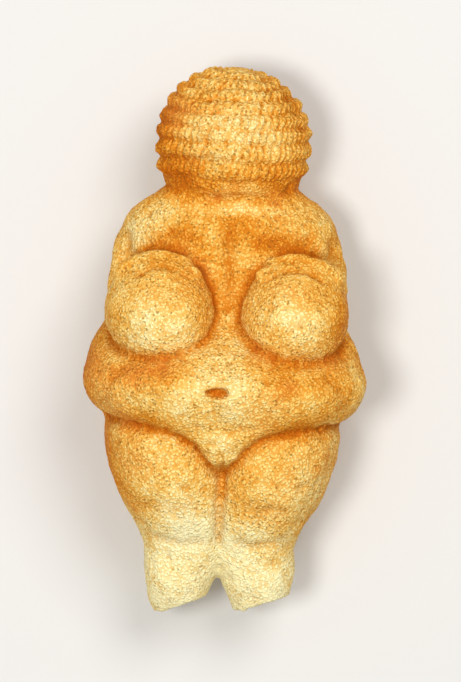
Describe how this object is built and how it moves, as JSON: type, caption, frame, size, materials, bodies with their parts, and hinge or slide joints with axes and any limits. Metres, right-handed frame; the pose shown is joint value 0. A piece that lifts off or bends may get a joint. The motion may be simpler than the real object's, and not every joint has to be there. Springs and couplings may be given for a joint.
{
  "type": "venus figurine",
  "caption": "Palm-sized carved stone figurine of a heavy woman: faceless head wound with braids, thin arms folded over the breasts, and legs broken off short. It lies on its back.",
  "frame": {"origin": "centre of the bounding box's footprint, on the surface that the figurine's back lies on", "axes": "+X across the body to the viewer's right, +Y from the broken leg ends to the crown, +Z the way the figure faces"},
  "size_m": [0.0578, 0.111, 0.0444],
  "materials": {
    "stone": "pitted granular limestone, pale yellow to orange from a worn tint of red ochre"
  },
  "bodies": {
    "root": {"figurine": "stone"}
  },
  "joints": []
}
